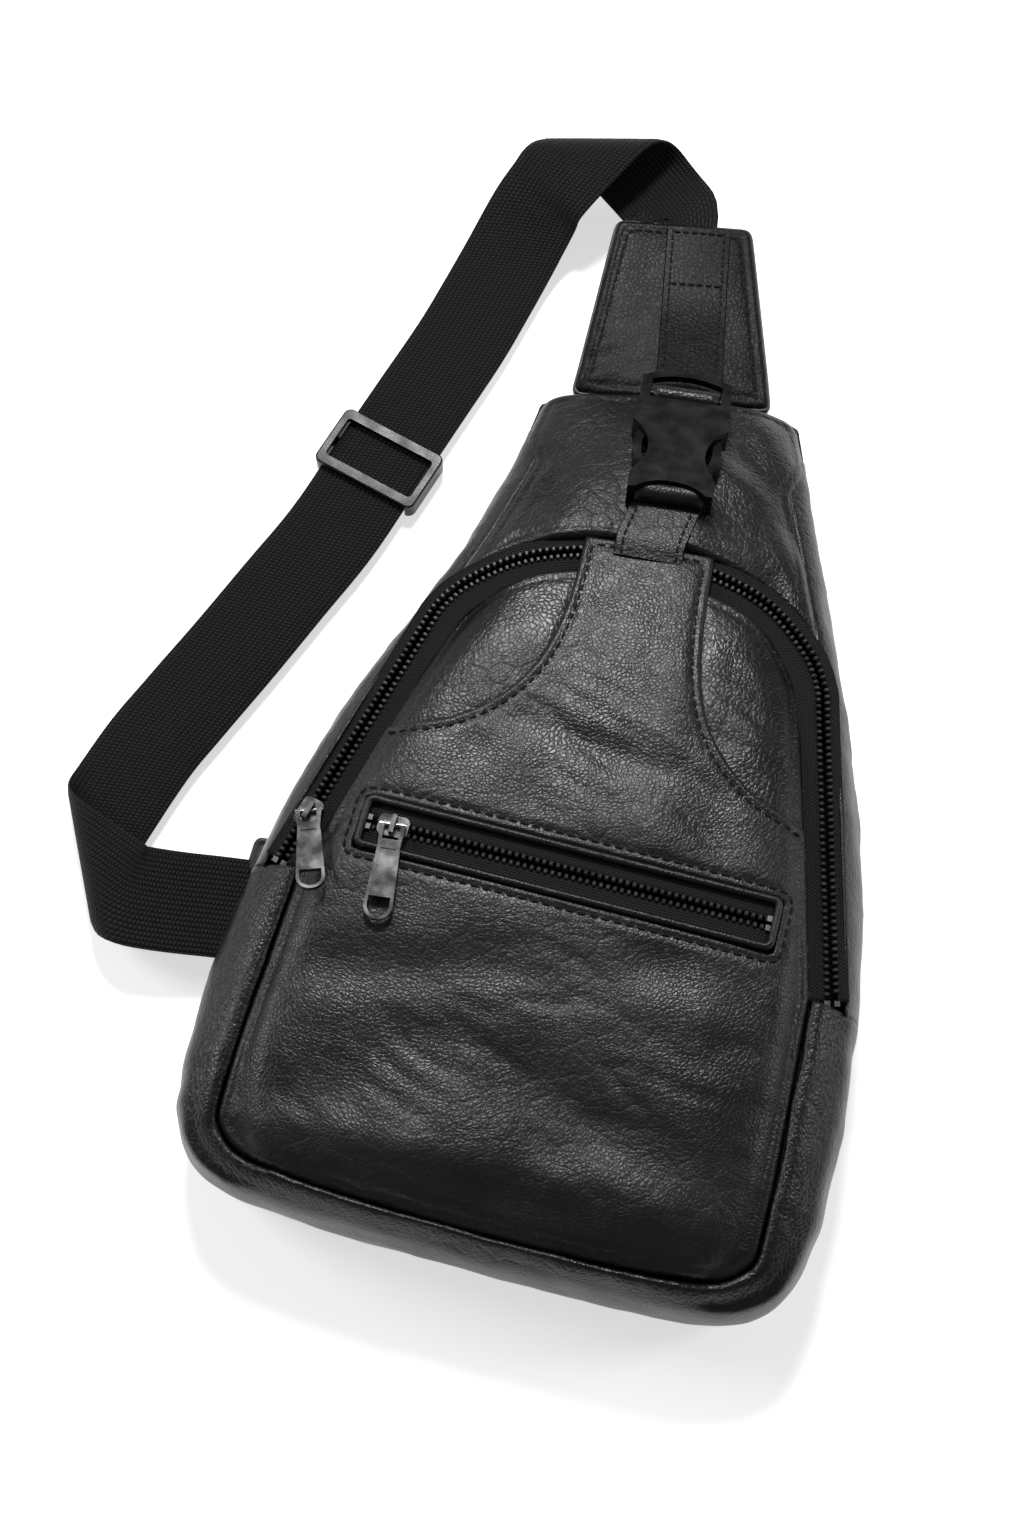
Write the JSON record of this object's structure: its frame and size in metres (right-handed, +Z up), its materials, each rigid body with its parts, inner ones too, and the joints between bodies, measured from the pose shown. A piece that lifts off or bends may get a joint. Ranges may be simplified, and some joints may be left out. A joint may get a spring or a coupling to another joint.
{
  "type": "chest bag",
  "caption": "Compact black leather chest bag with a curved zipped flap, a zipped front pocket, a side-release buckle at its neck and an adjustable webbing shoulder strap, lying on its back.",
  "frame": {"origin": "on the surface the bag lies on, under the widest part of the bag's back", "axes": "+Z up, away from the wearer and through the bag's front; +Y towards the neck and the buckle; +X to the right, seen from the front"},
  "size_m": [0.2561, 0.3812, 0.0512],
  "materials": {
    "leather": "black pebbled, semi-matt, lightly creased",
    "yoke_leather": "black smoother leather, slightly greyer, semi-matt",
    "edge_leather": "dark painted edge",
    "lining": "dark plain-woven",
    "foam": "open-cell foam, hidden",
    "zip_tape": "black woven tape",
    "zip_teeth": "black moulded teeth",
    "zip_metal": "black lacquered, semi-gloss, edges brighter",
    "stiffener": "hidden sheet",
    "webbing": "ribbed black webbing, finer twill on its inner face",
    "buckle_plastic": "black satin moulding with worn edges"
  },
  "bodies": {
    "bag": {"back_panel": "leather", "side_wall_left": "leather", "side_wall_right": "leather", "lower_gusset": "leather", "front_panel": "yoke_leather", "upper_panel": "leather", "cheek_left": "leather", "cheek_right": "leather", "lining": "lining", "back_foam": "foam", "pocket_bag": "lining", "pocket_welt": "leather", "main_tape_inner": "zip_tape", "main_tape_outer": "zip_tape", "main_teeth_inner": "zip_teeth", "main_teeth_outer": "zip_teeth", "main_stops": "zip_metal", "pocket_tape_upper": "zip_tape", "pocket_tape_lower": "zip_tape", "pocket_teeth_upper": "zip_teeth", "pocket_teeth_lower": "zip_teeth", "pocket_stops": "zip_metal", "neck_back": "leather", "neck_stiffener": "stiffener", "neck_front": "leather", "shoulder_strap": "webbing", "side_tab": "edge_leather", "buckle_socket": "buckle_plastic", "socket_strap": "yoke_leather", "buckle_strap": "yoke_leather"},
    "main_slider": {"main_slider": "zip_metal"},
    "main_pull": {"main_pull": "zip_metal"},
    "pocket_slider": {"pocket_slider": "zip_metal"},
    "pocket_pull": {"pocket_pull": "zip_metal"},
    "buckle_plug": {"buckle_plug": "buckle_plastic", "buckle_prongs": "buckle_plastic"},
    "adjuster": {"adjuster": "buckle_plastic"}
  },
  "joints": [
    {"name": "main_zip", "type": "slide", "parent": "bag", "child": "main_slider", "axis": [0.2421, 0.9702, -0.007], "range_m": [-0.011, 0.065]},
    {"name": "main_pull_swing", "type": "hinge", "parent": "main_slider", "child": "main_pull", "pos_m": [-0.07795, -0.06045, 0.04074], "axis": [-0.9397, -0.3419, 0.002], "range_deg": [0, 130]},
    {"name": "pocket_zip", "type": "slide", "parent": "bag", "child": "pocket_slider", "axis": [1, 0, 0], "range_m": [-0.002, 0.105]},
    {"name": "pocket_pull_swing", "type": "hinge", "parent": "pocket_slider", "child": "pocket_pull", "pos_m": [-0.0518, -0.0607, 0.04875], "axis": [-0.9945, -0.1049, 0], "range_deg": [0, 150]},
    {"name": "buckle_release", "type": "slide", "parent": "bag", "child": "buckle_plug", "axis": [-0.09, 0.9509, -0.296], "range_m": [0, 0.025], "deforming": ["buckle_prongs", "buckle_strap"]},
    {"name": "strap_adjust", "type": "slide", "parent": "bag", "child": "adjuster", "axis": [0.266, 0.964, 0], "range_m": [-0.017, 0.038]}
  ]
}
